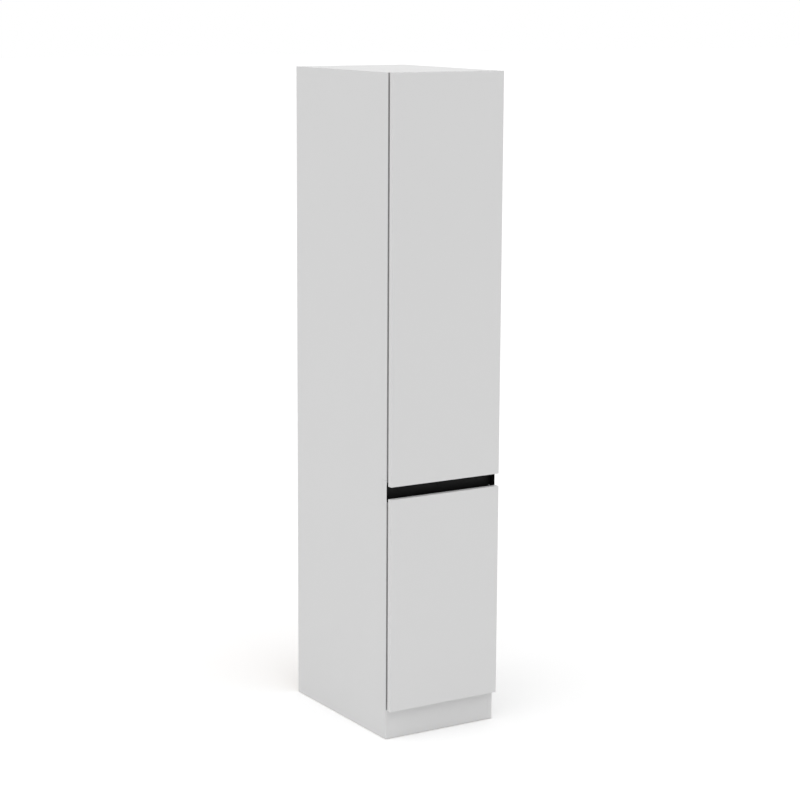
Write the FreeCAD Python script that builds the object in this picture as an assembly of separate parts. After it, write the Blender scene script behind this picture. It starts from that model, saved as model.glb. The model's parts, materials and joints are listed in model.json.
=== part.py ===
# Tall kitchen cabinet with two doors and a recessed grip rail between them.
# Millimetres. Front faces -Y, +Z is up, the origin is under the middle of the whole cabinet.
import FreeCAD
import Part
import math
import os

# Overall sizes
cabinet_width = 400.0
cabinet_height = 2070.0
carcass_depth = 560.0

# Boards
board = 16.0
door_board = 18.0
back_board = 3.0

# Doors and the grip groove between them
door_gap = 7.0
door_side_reveal = 1.5
lower_door_foot = 96.0
groove_foot = 774.0
groove_height = 40.0
door_edge_radius = 0.8
bottom_panel_lift = 2.0

# Clearances
slide_clearance = 0.2
shelf_clearance = 0.5
peg_clearance = 0.05
pin_clearance = 0.05
stop_clearance = 0.3

# Sides given to small round pieces and their holes
peg_sides = 6
pivot_sides = 8
bore_sides = 20
round_sides = 12

# Floor and plinth
glide_height = 1.0
glide_radius = 7.0
glide_inset = 45.0
rear_rail_inset = 40.0

# Back panels
back_inset = 12.0
back_groove_depth = 8.0
strip_wall = 1.2
strip_slot = 7.0
strip_rise = 62.0

# Grip rail
rail_height = 73.0
rail_depth = 26.0
rail_wall = 1.5
rail_round = 9.0
rail_lip = 4.0
cap_thickness = 1.2
notch_room = 0.5
rail_screws = 3

# Shelves
upper_shelves = 4
lower_shelves = 2
shelf_front_inset = 22.0
shelf_back_room = 4.0
peg_radius = 2.5
peg_length = 10.0
peg_front_row = 59.0
peg_rear_row = 64.0
peg_pitch = 32.0
spade_width = 9.0
spade_length = 8.0
spade_thickness = 2.5
spare_holes = 0

# Board fasteners
cam_radius = 7.5
cam_height = 12.0
cam_reach = 24.0
bolt_radius = 3.0
bolt_in_side = 10.0
dowel_radius = 4.0
dowel_length = 30.0
fastener_inset = 70.0

# Wall brackets
bracket_leg = 42.0
bracket_width = 30.0
bracket_wall = 2.0
bracket_drop = 14.0
wall_hole_radius = 3.5
wall_hole_reach = 26.0

# Concealed hinges
hinge_end_distance = 100.0
cup_radius = 17.4
cup_edge_distance = 22.5
cup_depth = 11.5
cup_wall = 1.0
flange_radius = 19.0
flange_thickness = 1.2
flange_half = 31.0
flange_width = 15.0
cup_screw_half_spacing = 24.0
cup_screw_offset = 6.0
pin_radius = 1.0
eye_radius = 2.3
inner_half = 4.0
cheek_gap = 0.4
arm_wall = 1.4
link_wall = 1.6
open_eye_radius = 3.5
open_hole_radius = 2.1
open_hole_offset = 0.42
crank_length = 8.0
crank_offset = 2.0
bridge_start = 6.0
bridge_end = 16.0
bridge_inner = 3.0
bridge_wall = 1.4
arm_height = 32.5
arm_length = 72.0
arm_mouth = 5.0
nose_length = 5.5
plate_row = 37.0
plate_half = 23.0
plate_width = 13.0
plate_wall = 2.5
plate_screw_half_spacing = 16.0
bumper_radius = 5.0
bumper_inset = 30.0

# Screw shafts
small_shaft = 1.8
rail_shaft = 2.0
clamp_shaft = 2.0
plate_shaft = 2.5
cup_screw_bite = 8.0

# Hinge pivots: how far the two arm pivots stand off the side board and behind the carcass front,
# and how far the two cup pivots lie from the door's edge and below its back face
arm_long_pivot_off = 26.8
arm_long_pivot_back = 9.1
arm_short_pivot_off = 18.5
arm_short_pivot_back = -8.4
cup_long_pivot_in = 13.0
cup_long_pivot_deep = 0.8
cup_short_pivot_in = 15.5
cup_short_pivot_deep = 3.6

# Levels worked out from the sizes above
door_stack = door_gap + door_board
front = door_stack - (carcass_depth + door_stack) / 2.0
rear = front + carcass_depth
side = cabinet_width / 2.0
inner = side - board
door_back = front - door_gap
door_front = door_back - door_board
door_edge = side - door_side_reveal
groove_top = groove_foot + groove_height
groove_middle = groove_foot + groove_height / 2.0
bottom_low = lower_door_foot + bottom_panel_lift
bottom_high = bottom_low + board
top_low = cabinet_height - board
middle_low = groove_middle - board / 2.0
middle_high = middle_low + board
back_face = rear - back_inset - back_board
notch_depth = rail_depth + notch_room
notch_half = rail_height / 2.0 + notch_room
rail_half = side - cap_thickness
up = FreeCAD.Vector(0, 0, 1)
along_x = FreeCAD.Vector(1, 0, 0)
along_y = FreeCAD.Vector(0, 1, 0)


def block(x0, x1, y0, y1, z0, z1):
    return Part.makeBox(x1 - x0, y1 - y0, z1 - z0, FreeCAD.Vector(x0, y0, z0))


def rod(radius, length, x, y, z, direction):
    return Part.makeCylinder(radius, length, FreeCAD.Vector(x, y, z), direction)


def many_sided(radius, length, x, y, z, direction, sides, hole=False):
    """A slim round piece as a prism, or the hole that clears it at every turn."""
    reach = radius / math.cos(math.pi / sides) if hole else radius
    turns = [2.0 * math.pi * number / sides for number in range(sides)]
    corners = [FreeCAD.Vector(reach * math.cos(turn), reach * math.sin(turn), 0) for turn in turns]
    solid = Part.Face(Part.makePolygon(corners + corners[:1])).extrude(up * length)
    solid.Placement = FreeCAD.Placement(FreeCAD.Vector(x, y, z), FreeCAD.Rotation(up, direction))
    return solid


def peg(radius, length, x, y, z, direction):
    return many_sided(radius, length, x, y, z, direction, peg_sides)


def peg_hole(radius, length, x, y, z, direction):
    return many_sided(radius + peg_clearance, length, x, y, z, direction, peg_sides, True)


def round_edges(solid, radius, wanted):
    return solid.makeFillet(radius, [edge for edge in solid.Edges if wanted(edge)])


def mirrored(solid):
    return solid.mirror(FreeCAD.Vector(0, 0, 0), along_x)


def bar(start, end, half_width, low, high):
    """A flat bar with round ends between two points of the plan, from one height to another."""
    run = end - start
    thick = high - low
    solid = Part.makeBox(run.Length, 2 * half_width, thick, FreeCAD.Vector(0, -half_width, 0))
    for place in (0.0, run.Length):
        solid = solid.fuse(many_sided(half_width, thick, place, 0, 0, up, pivot_sides))
    solid.rotate(FreeCAD.Vector(0, 0, 0), up, math.degrees(math.atan2(run.y, run.x)))
    solid.translate(FreeCAD.Vector(start.x, start.y, low))
    return solid


def plan(corners, low, high):
    """A flat piece cut to a plan outline."""
    points = [FreeCAD.Vector(corner.x, corner.y, low) for corner in corners]
    face = Part.Face(Part.makePolygon(points + points[:1]))
    return face.extrude(up * (high - low))


def pair(make, low, high):
    """The same flat piece below and above the middle of the hinge."""
    return [make(-high, -low), make(low, high)]


def one(solids):
    return solids[0].fuse(solids[1:]).removeSplitter()


def screw(x, y, z, direction, head_radius, head, shaft_radius, shaft):
    """A screw with its head seated at a point and its shaft running along a direction."""
    top = FreeCAD.Vector(x, y, z) - direction * head
    cap = peg(head_radius, head, top.x, top.y, top.z, direction)
    return cap.fuse(peg(shaft_radius, shaft, x, y, z, direction))


def save(name, solids):
    group = solids if isinstance(solids, list) else [solids]
    shape = group[0] if len(group) == 1 else Part.makeCompound(group)
    shape.exportStep("parts/" + name + ".step")
    faults = [solid for solid in group if not solid.isValid() or len(solid.Solids) != 1]
    print(name, len(group), "solids", len(faults), "faults")


os.makedirs("parts", exist_ok=True)

# Shelf heights: each compartment is shared out evenly
def shelf_levels(low, high, count):
    clear = (high - low - count * board) / (count + 1)
    return [low + clear + number * (clear + board) for number in range(count)]


upper_levels = shelf_levels(middle_high, top_low, upper_shelves)
lower_levels = shelf_levels(bottom_high, middle_low, lower_shelves)
peg_rows = (front + peg_front_row, back_face - peg_rear_row)
fastener_rows = (front + fastener_inset, back_face - fastener_inset)
dowel_row = (fastener_rows[0] + fastener_rows[1]) / 2.0
fixed_lows = (bottom_low, middle_low, top_low)
wall_hole_x = inner - wall_hole_reach
wall_hole_z = top_low - bracket_drop - bracket_leg / 2.0
bracket_screw_row = back_face - bracket_leg * 0.6
bracket_screw_levels = (wall_hole_z - bracket_leg / 4.0, wall_hole_z + bracket_leg / 4.0)

# Hinge heights
upper_hinges = (groove_top + hinge_end_distance,
                (groove_top + cabinet_height) / 2.0,
                cabinet_height - hinge_end_distance)
lower_hinges = (lower_door_foot + hinge_end_distance, groove_foot - hinge_end_distance)
all_hinges = lower_hinges + upper_hinges

# Side boards: the left one is cut and the right one is its mirror image with hinge holes added
side_board = block(-side, -inner, front, rear, glide_height, cabinet_height)
side_board = side_board.cut(block(-side, -inner, front, front + notch_depth,
                                  groove_middle - notch_half, groove_middle + notch_half))
groove_wide = back_board + slide_clearance
side_board = side_board.cut(block(-inner - back_groove_depth, -inner, back_face - slide_clearance / 2,
                                  back_face + groove_wide - slide_clearance / 2,
                                  bottom_high - back_groove_depth, top_low + back_groove_depth))
holes = []
for level in upper_levels + lower_levels:
    for step in range(-spare_holes, spare_holes + 1):
        for row in peg_rows:
            height = level - peg_radius + step * peg_pitch
            holes.append(peg_hole(peg_radius, peg_length, -inner, row, height, -along_x))
for low in fixed_lows:
    for row in fastener_rows:
        holes.append(peg_hole(bolt_radius, bolt_in_side, -inner, row, low + board / 2.0, -along_x))
    holes.append(peg_hole(dowel_radius, dowel_length / 3.0, -inner, dowel_row, low + board / 2.0, -along_x))
for height in bracket_screw_levels:
    holes.append(peg_hole(small_shaft, peg_length, -inner, bracket_screw_row, height, -along_x))
side_board = side_board.cut(holes)
save("left_side_panel", side_board)

plate_holes = []
for height in all_hinges:
    for end in (-plate_screw_half_spacing, plate_screw_half_spacing):
        plate_holes.append(peg_hole(plate_shaft, peg_length, inner, front + plate_row, height + end, along_x))
save("right_side_panel", mirrored(side_board).cut(plate_holes))

# Fixed boards between the sides, bored for cams, bolts and dowels
def fixed_board(low, y_front, y_rear):
    solid = block(-inner, inner, y_front, y_rear, low, low + board)
    cuts = []
    for hand in (-1, 1):
        for row in fastener_rows:
            cam_x = hand * (inner - cam_reach)
            cuts.append(many_sided(cam_radius + peg_clearance, cam_height, cam_x, row, low, up, round_sides, True))
            cuts.append(peg_hole(bolt_radius, cam_reach, hand * inner, row, low + board / 2.0, along_x * -hand))
        cuts.append(peg_hole(dowel_radius, dowel_length * 2.0 / 3.0, hand * inner, dowel_row, low + board / 2.0,
                             along_x * -hand))
    return solid.cut(cuts)


def back_slot(z0, z1):
    return block(-inner, inner, back_face - slide_clearance / 2, back_face + groove_wide - slide_clearance / 2,
                 z0, z1)


save("top_panel", fixed_board(top_low, front, rear).cut(back_slot(top_low, top_low + back_groove_depth)))
rail_screw_places = [(number - (rail_screws - 1) / 2.0) * inner * 0.8 for number in range(rail_screws)]
middle_board = fixed_board(middle_low, front + notch_depth, back_face)
for place in rail_screw_places:
    middle_board = middle_board.cut(peg_hole(rail_shaft, peg_length, place, front + notch_depth, groove_middle,
                                             along_y))
save("middle_panel", middle_board)
bottom_slot = back_slot(bottom_high - back_groove_depth, bottom_high)
save("bottom_panel", fixed_board(bottom_low, front, rear).cut(bottom_slot))

# Cams, bolts and dowels that hold the fixed boards
cams = []
bolts = []
dowels = []
for low in fixed_lows:
    for hand in (-1, 1):
        for row in fastener_rows:
            cam = many_sided(cam_radius, cam_height, hand * (inner - cam_reach), row, low, up, round_sides)
            bolt_hole = peg_hole(bolt_radius, cam_radius, hand * (inner - cam_reach), row, low + board / 2.0,
                                 along_x * hand)
            driver = block(-1.2, 1.2, -4.5, 4.5, 0, 1.5)
            driver.translate(FreeCAD.Vector(hand * (inner - cam_reach), row, low))
            cams.append(cam.cut([bolt_hole, driver]))
            bolts.append(peg(bolt_radius, bolt_in_side + cam_reach, hand * (inner + bolt_in_side), row,
                             low + board / 2.0, along_x * -hand))
        dowels.append(peg(dowel_radius, dowel_length, hand * (inner + dowel_length / 3.0), dowel_row,
                          low + board / 2.0, along_x * -hand))
save("cam_discs", cams)
save("cam_bolts", bolts)
save("dowels", dowels)

# Back boards in their grooves, with a strip of H section where they meet
strip_middle = middle_high + strip_rise
back_half = inner + back_groove_depth - shelf_clearance
lower_back = block(-back_half, back_half, back_face, back_face + back_board,
                   bottom_high - back_groove_depth + shelf_clearance, strip_middle - strip_wall / 2.0)
upper_back = block(-back_half, back_half, back_face, back_face + back_board,
                   strip_middle + strip_wall / 2.0, top_low + back_groove_depth - shelf_clearance)
for hand in (-1, 1):
    upper_back = upper_back.cut(many_sided(wall_hole_radius + 1.0, back_board, hand * wall_hole_x, back_face,
                                           wall_hole_z, along_y, round_sides, True))
save("lower_back_panel", lower_back)
save("upper_back_panel", upper_back)

strip_outer = strip_wall + slide_clearance / 4.0
strip = block(-inner + slide_clearance, inner - slide_clearance, back_face - strip_outer,
              back_face + back_board + strip_outer, strip_middle - strip_slot, strip_middle + strip_slot)
slot_y0 = back_face - slide_clearance / 4.0
slot_y1 = back_face + back_board + slide_clearance / 4.0
upper_slot_foot = strip_middle + strip_wall / 2.0
lower_slot_top = strip_middle - strip_wall / 2.0
strip = strip.cut(block(-side, side, slot_y0, slot_y1, upper_slot_foot, strip_middle + strip_slot))
strip = strip.cut(block(-side, side, slot_y0, slot_y1, strip_middle - strip_slot, lower_slot_top))
save("back_joint_strip", strip)

# Plinth
save("plinth_board", block(-inner, inner, front, front + board, glide_height, bottom_low))
rail_y = rear - rear_rail_inset - board
save("rear_plinth_rail", block(-inner, inner, rail_y, rail_y + board, glide_height, bottom_low))
glides = []
for hand in (-1, 1):
    for y in (front + glide_inset, rear - glide_inset):
        glide_x = hand * (side - board / 2.0)
        glides.append(many_sided(glide_radius, glide_height, glide_x, y, 0, up, round_sides))
save("floor_glides", glides)

# Grip rail: a C section with round inner corners and short lips, closed by a cap at each end
def back_corners(edge):
    middle = edge.CenterOfMass
    return edge.Length > 2 * inner and middle.y > front + rail_depth / 2.0


rail_low = groove_middle - rail_height / 2.0
rail_high = groove_middle + rail_height / 2.0
rail = block(-rail_half, rail_half, front, front + rail_depth, rail_low, rail_high)
rail = round_edges(rail, rail_round + rail_wall, back_corners)
hollow = block(-side, side, front + rail_wall, front + rail_depth - rail_wall, rail_low + rail_wall,
               rail_high - rail_wall)
hollow = round_edges(hollow, rail_round, back_corners)
mouth = block(-side, side, front - 1.0, front + rail_wall, rail_low + rail_wall + rail_lip,
              rail_high - rail_wall - rail_lip)
rail = rail.cut(hollow).cut(mouth)
rail_screw_solids = []
seat = front + rail_depth - rail_wall
for place in rail_screw_places:
    rail = rail.cut(peg_hole(rail_shaft, 2 * rail_wall, place, seat - rail_wall / 2.0, groove_middle, along_y))
    rail_screw_solids.append(screw(place, seat, groove_middle, along_y, 4.0, 1.2, rail_shaft,
                                   rail_wall + notch_room + peg_length))
save("grip_rail", rail)
save("grip_rail_screws", rail_screw_solids)
cap = block(-side, -rail_half, front, front + notch_depth - slide_clearance,
            groove_middle - notch_half + slide_clearance, groove_middle + notch_half - slide_clearance)
save("left_grip_cap", cap)
save("right_grip_cap", mirrored(cap))

# Shelves on pegs with flat spades
shelf_half = inner - shelf_clearance
pegs = []


def shelf(name, level):
    save(name, block(-shelf_half, shelf_half, front + shelf_front_inset, back_face - shelf_back_room,
                     level, level + board))
    for hand in (-1, 1):
        for row in peg_rows:
            stem_x = hand * (inner - 1.0)
            stem = peg(peg_radius, peg_length + 1.0, stem_x, row, level - peg_radius, along_x * hand)
            tip = hand * (inner - spade_length)
            spade = block(min(tip, hand * inner), max(tip, hand * inner), row - spade_width / 2.0,
                          row + spade_width / 2.0, level - spade_thickness, level)
            pegs.append(stem.fuse(spade).removeSplitter())


for number, level in enumerate(upper_levels):
    shelf("upper_shelf_%d" % (number + 1), level)
for number, level in enumerate(lower_levels):
    shelf("lower_shelf_%d" % (number + 1), level)
save("shelf_pins", pegs)

# Wall brackets: angles in the two upper back corners, with a hole for the wall screw
brackets = []
bracket_screws = []
bracket_high = top_low - bracket_drop
bracket_low = bracket_high - bracket_leg
for hand in (-1, 1):
    reach = wall_hole_reach + bracket_width / 2.0
    face_leg = block(inner - reach, inner, back_face - bracket_wall, back_face, bracket_low, bracket_high)
    side_leg = block(inner - bracket_wall, inner, back_face - bracket_leg, back_face, bracket_low, bracket_high)
    angle = face_leg.fuse(side_leg).removeSplitter()
    angle = angle.cut(rod(wall_hole_radius, 3 * bracket_wall, wall_hole_x, back_face - 2 * bracket_wall,
                          wall_hole_z, along_y))
    for z in bracket_screw_levels:
        angle = angle.cut(peg_hole(small_shaft, bracket_wall, inner - bracket_wall, bracket_screw_row, z,
                                   along_x))
    brackets.append(angle if hand > 0 else mirrored(angle))
    for z in bracket_screw_levels:
        y = bracket_screw_row
        bracket_screws.append(screw(hand * (inner - bracket_wall), y, z, along_x * hand, 3.5, 1.5, small_shaft,
                                    bracket_wall + peg_length))
save("wall_brackets", brackets)
save("wall_bracket_screws", bracket_screws)

# Hinge plan: pivots, then the layers from the middle of a hinge outwards
long_arm_pivot = FreeCAD.Vector(inner - arm_long_pivot_off, front + arm_long_pivot_back, 0)
short_arm_pivot = FreeCAD.Vector(inner - arm_short_pivot_off, front + arm_short_pivot_back, 0)
long_cup_pivot = FreeCAD.Vector(door_edge - cup_long_pivot_in, door_back - cup_long_pivot_deep, 0)
short_cup_pivot = FreeCAD.Vector(door_edge - cup_short_pivot_in, door_back - cup_short_pivot_deep, 0)
cup_x = door_edge - cup_edge_distance
arm_low = inner_half + cheek_gap
arm_high = arm_low + arm_wall
link_low = arm_high + cheek_gap
link_high = link_low + link_wall


def pin(point, low, high):
    return rod(pin_radius, high - low, point.x, point.y, low, up)


def pin_hole(point, reach):
    return peg_hole(pin_radius, 2 * reach, point.x, point.y, -reach, up)


def eye_hole(point):
    return many_sided(pin_radius + pin_clearance, 4 * link_high, point.x, point.y, -2 * link_high, up,
                      pivot_sides, True)


def eye(radius, point, low, high):
    return many_sided(radius, high - low, point.x, point.y, low, up, pivot_sides)


# Long outer link: two cranked cheeks joined by a bridge on the side away from the arm's nose
run = (long_cup_pivot - long_arm_pivot).normalize()
across = FreeCAD.Vector(-run.y, run.x, 0)
crank = long_cup_pivot - run * crank_length - across * crank_offset
bridge_out = bridge_inner + bridge_wall


def cheek(low, high):
    outline = [long_arm_pivot + run * bridge_start,
               long_arm_pivot + run * bridge_end,
               long_arm_pivot + run * bridge_end + across * bridge_out,
               long_arm_pivot + run * bridge_start + across * bridge_out]
    solid = bar(long_arm_pivot, crank, eye_radius, low, high)
    solid = solid.fuse(bar(crank, long_cup_pivot, eye_radius - 0.5, low, high))
    solid = solid.fuse(eye(eye_radius, long_cup_pivot, low, high))
    return solid.fuse(plan(outline, low, high))


bridge = plan([long_arm_pivot + run * bridge_start + across * bridge_inner,
               long_arm_pivot + run * bridge_end + across * bridge_inner,
               long_arm_pivot + run * bridge_end + across * bridge_out,
               long_arm_pivot + run * bridge_start + across * bridge_out], -link_high, link_high)
outer_link = one(pair(cheek, link_low, link_high) + [bridge])
outer_link = outer_link.cut([eye_hole(long_arm_pivot), eye_hole(long_cup_pivot)])

# Short inner link: one bar whose cup eye is bored wide, because its pivot is the open one
short_run = (short_arm_pivot - short_cup_pivot).normalize()
short_across = FreeCAD.Vector(-short_run.y, short_run.x, 0)
open_hole = short_cup_pivot + short_across * open_hole_offset
inner_link = bar(short_cup_pivot, short_arm_pivot, eye_radius - 0.3, -inner_half, inner_half)
inner_link = inner_link.fuse(eye(open_eye_radius, open_hole, -inner_half, inner_half))
inner_link = inner_link.fuse(eye(eye_radius, short_arm_pivot, -inner_half, inner_half))
inner_link = inner_link.removeSplitter().cut(eye_hole(short_arm_pivot))
inner_link = inner_link.cut(many_sided(open_hole_radius, 4 * inner_half, open_hole.x, open_hole.y,
                                       -2 * inner_half, up, pivot_sides, True))

# Arm: a channel open towards the side board, with a nose that dips into the cup
arm_outer = inner - arm_height
arm_inner = inner - 10.0


def arm_cheek(low, high):
    nose = short_arm_pivot
    outline = [FreeCAD.Vector(arm_outer, front + arm_length, 0),
               FreeCAD.Vector(arm_outer, front + arm_mouth, 0),
               nose + FreeCAD.Vector(-eye_radius, nose_length, 0),
               nose + FreeCAD.Vector(-eye_radius, 0, 0),
               nose + FreeCAD.Vector(eye_radius, 0, 0),
               long_arm_pivot + FreeCAD.Vector(4.4, -4.0, 0),
               long_arm_pivot + FreeCAD.Vector(7.0, 7.0, 0),
               FreeCAD.Vector(arm_inner, front + 25.0, 0),
               FreeCAD.Vector(arm_inner, front + arm_length, 0)]
    return plan(outline, low, high).fuse(eye(eye_radius, nose, low, high))


web = block(arm_outer, arm_outer + arm_wall, front + arm_mouth, front + arm_length, -arm_high, arm_high)
arm_pins = [pin(long_arm_pivot, -link_high, link_high), pin(short_arm_pivot, -arm_high, arm_high)]
arm = one(pair(arm_cheek, arm_low, arm_high) + [web])
arm = arm.cut([pin_hole(long_arm_pivot, 2 * link_high), pin_hole(short_arm_pivot, 2 * link_high)])
clamp_y = front + plate_row + 14.0
arm = arm.cut(peg_hole(clamp_shaft, 2 * arm_wall, arm_outer - arm_wall / 2.0, clamp_y, 0, along_x))

def winged(x, y, thick, direction, half_width, half_length):
    """An upright flat wing with round ends, laid on a face and as thick as stated."""
    straight = half_length - half_width
    side_way = direction.cross(up) * half_width
    corners = [side_way, -side_way]
    base = FreeCAD.Vector(x, y, 0)
    outline = [base + corners[0] - up * straight, base + corners[1] - up * straight,
               base + corners[1] + up * straight, base + corners[0] + up * straight]
    solid = Part.Face(Part.makePolygon(outline + outline[:1])).extrude(direction * thick)
    for end in (-straight, straight):
        solid = solid.fuse(many_sided(half_width, thick, x, y, end, direction, round_sides))
    return solid.removeSplitter()


# Mounting plate: a ridge between the arm's cheeks on a winged foot screwed to the side board
ridge = block(arm_outer + arm_wall, inner, front + plate_row - 10.0, front + arm_length - 4.0,
              -arm_low + slide_clearance, arm_low - slide_clearance)
wings = winged(inner - plate_wall, front + plate_row, plate_wall, along_x, plate_width / 2.0, plate_half)
plate = ridge.fuse(wings).removeSplitter()
plate = plate.cut(peg_hole(clamp_shaft, 12.0, arm_outer + arm_wall, clamp_y, 0, along_x))
plate_screws = []
for end in (-plate_screw_half_spacing, plate_screw_half_spacing):
    plate = plate.cut(peg_hole(plate_shaft, plate_wall, inner - plate_wall, front + plate_row, end, along_x))
    plate_screws.append(screw(inner - plate_wall, front + plate_row, end, along_x, 4.5, 1.6, plate_shaft,
                              plate_wall + peg_length))
clamp_screw = screw(arm_outer, clamp_y, 0, along_x, 3.6, 1.8, clamp_shaft, arm_wall + 11.0)

# Cup: a bowl with a winged flange, relieved at the door's edge for the links
cup_out = -along_y
bowl = many_sided(cup_radius, cup_depth, cup_x, door_back, 0, cup_out, bore_sides)
ring = many_sided(flange_radius, flange_thickness, cup_x, door_back, 0, along_y, bore_sides)
wing = winged(cup_x - cup_screw_offset, door_back, flange_thickness, along_y, flange_width / 2.0, flange_half)
cup = one([bowl, ring, wing])
bowl_room = cup_depth + flange_thickness - cup_wall
cup = cup.cut(many_sided(cup_radius - cup_wall, bowl_room, cup_x, door_back + flange_thickness, 0, cup_out,
                         bore_sides))
relief = block(cup_x + cup_radius * 0.55, cup_x + flange_radius + 1.0, door_back - 1.8,
               door_back + flange_thickness, -link_high - 0.8, link_high + 0.8)
cup = cup.cut(relief)
cup_screws = []
cup_screw_holes = []
for end in (-cup_screw_half_spacing, cup_screw_half_spacing):
    x = cup_x - cup_screw_offset
    cup = cup.cut(peg_hole(small_shaft, flange_thickness, x, door_back, end, along_y))
    cup_screws.append(screw(x, door_back + flange_thickness, end, cup_out, 3.6, 1.2, small_shaft,
                            flange_thickness + cup_screw_bite))
    cup_screw_holes.append(peg_hole(small_shaft, cup_screw_bite, x, door_back, end, cup_out))


def chord(point):
    return math.sqrt((cup_radius - cup_wall / 2.0) ** 2 - (point.x - cup_x) ** 2)


long_reach = chord(long_cup_pivot)
short_reach = chord(short_cup_pivot)
cup = cup.cut([pin_hole(long_cup_pivot, long_reach), pin_hole(short_cup_pivot, short_reach)])
cup_pins = [pin(long_cup_pivot, -long_reach, -link_low), pin(long_cup_pivot, link_low, long_reach),
            eye(pin_radius, short_cup_pivot, -short_reach, short_reach)]
cup_bore = many_sided(cup_radius + peg_clearance, cup_depth + 2 * peg_clearance, cup_x, door_back, 0, cup_out,
                      bore_sides, True)


def at_heights(solids, heights):
    group = []
    for height in heights:
        for solid in solids:
            copy = solid.copy()
            copy.translate(up * height)
            group.append(copy)
    return group


save("hinge_arms", at_heights([arm], all_hinges))
save("hinge_arm_pins", at_heights(arm_pins, all_hinges))
save("hinge_arm_screws", at_heights([clamp_screw], all_hinges))
save("hinge_plates", at_heights([plate], all_hinges))
save("hinge_plate_screws", at_heights(plate_screws, all_hinges))

# Doors
def front_edges(edge):
    return edge.CenterOfMass.y < door_front + 0.01


def door(name, low, high, heights):
    panel = block(-door_edge, door_edge, door_front, door_back, low, high)
    panel = round_edges(panel, door_edge_radius, front_edges)
    panel = panel.cut(at_heights([cup_bore] + cup_screw_holes, heights))
    bumpers = []
    for z in (low + bumper_inset, high - bumper_inset):
        bumpers.append(many_sided(bumper_radius, door_gap - stop_clearance, -side + board / 2.0, door_back, z,
                                  along_y, round_sides))
    save(name + "_door_panel", panel)
    save(name + "_door_bumpers", bumpers)
    save(name + "_hinge_cups", at_heights([cup], heights))
    save(name + "_cup_screws", at_heights(cup_screws, heights))
    save(name + "_cup_pins", at_heights(cup_pins, heights))
    save(name + "_outer_links", at_heights([outer_link], heights))
    save(name + "_inner_links", at_heights([inner_link], heights))


door("upper", groove_top, cabinet_height, upper_hinges)
door("lower", lower_door_foot, groove_foot, lower_hinges)
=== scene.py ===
import json
import math

import bmesh
import bpy
import numpy as np
from mathutils import Matrix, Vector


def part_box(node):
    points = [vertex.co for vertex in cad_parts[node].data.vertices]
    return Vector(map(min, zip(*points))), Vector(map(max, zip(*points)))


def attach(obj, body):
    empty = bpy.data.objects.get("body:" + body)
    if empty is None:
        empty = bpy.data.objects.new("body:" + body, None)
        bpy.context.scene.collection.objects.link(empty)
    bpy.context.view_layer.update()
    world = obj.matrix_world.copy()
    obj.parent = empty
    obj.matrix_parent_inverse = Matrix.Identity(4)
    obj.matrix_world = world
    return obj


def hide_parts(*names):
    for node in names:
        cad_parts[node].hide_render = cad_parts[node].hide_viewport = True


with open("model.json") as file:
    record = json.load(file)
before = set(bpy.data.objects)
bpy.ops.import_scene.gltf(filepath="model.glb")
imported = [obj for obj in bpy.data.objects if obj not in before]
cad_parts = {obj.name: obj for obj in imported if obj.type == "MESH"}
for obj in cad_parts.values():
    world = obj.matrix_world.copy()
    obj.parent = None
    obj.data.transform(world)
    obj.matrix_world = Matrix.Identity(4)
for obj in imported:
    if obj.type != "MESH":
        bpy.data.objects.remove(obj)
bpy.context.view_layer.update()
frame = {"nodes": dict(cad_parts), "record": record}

nodes = frame["nodes"]
bodyOfNode = {node: body for body, members in frame["record"]["behaviour"]["bodies"].items() for node in members}
scene = bpy.context.scene

# Camera: place, axes and lens worked out from the edges of the cabinet in the photograph
cameraSet = {
    "place": (-3.65638, -5.92519, 2.32485),
    "right": (0.85072050, -0.52559291, 0.00517039),
    "up": (0.09242256, 0.15926346, 0.98290041),
    "ahead": (0.51742894, 0.83569567, -0.18406532),
    "lens": 99.695,
    "sensor": 36.0,
    "farthest": 200.0,
}


def makeCamera(values):
    data = bpy.data.cameras.new("viewCamera")
    data.sensor_width = values["sensor"]
    data.lens = values["lens"]
    data.clip_end = values["farthest"]
    camera = bpy.data.objects.new("viewCamera", data)
    scene.collection.objects.link(camera)
    place = np.eye(4)
    place[:3, :3] = np.stack([values["right"], values["up"], -np.array(values["ahead"])], axis=1)
    place[:3, 3] = values["place"]
    camera.matrix_world = Matrix(place.tolist())
    scene.camera = camera


makeCamera(cameraSet)
print("camera placed")


# A grid of points becomes quads between neighbours; closed grids join their last column to the first
def gridFaces(rows, columns, closed=False):
    index = np.arange(rows * columns).reshape(rows, columns)
    if closed:
        index = np.concatenate([index, index[:, :1]], axis=1)
    quads = np.stack([index[:-1, :-1], index[1:, :-1], index[1:, 1:], index[:-1, 1:]], axis=-1)
    return quads.reshape(-1, 4)


def meshObject(name, points, faces):
    mesh = bpy.data.meshes.new(name)
    mesh.from_pydata(points.tolist(), [], faces)
    mesh.update()
    made = bpy.data.objects.new(name, mesh)
    scene.collection.objects.link(made)
    return made


# Each named input takes a link from a socket, or else a fixed value
def feed(tree, node, inputs):
    for key, value in inputs.items():
        if isinstance(value, bpy.types.NodeSocket):
            tree.links.new(value, node.inputs[key])
        else:
            node.inputs[key].default_value = value


def addNode(tree, kind, inputs=None, **settings):
    node = tree.nodes.new(kind)
    for key, value in settings.items():
        setattr(node, key, value)
    feed(tree, node, inputs or {})
    return node


def mathNode(tree, operation, first, second):
    return addNode(tree, "ShaderNodeMath", {0: first, 1: second}, operation=operation).outputs[0]


def distanceFromZero(tree, value):
    return mathNode(tree, "ABSOLUTE", value, 0.0)


def colourMix(tree, factor, first, second):
    inputs = {0: factor, 6: first, 7: second}
    return addNode(tree, "ShaderNodeMix", inputs, data_type="RGBA", clamp_factor=True).outputs[2]


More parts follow.
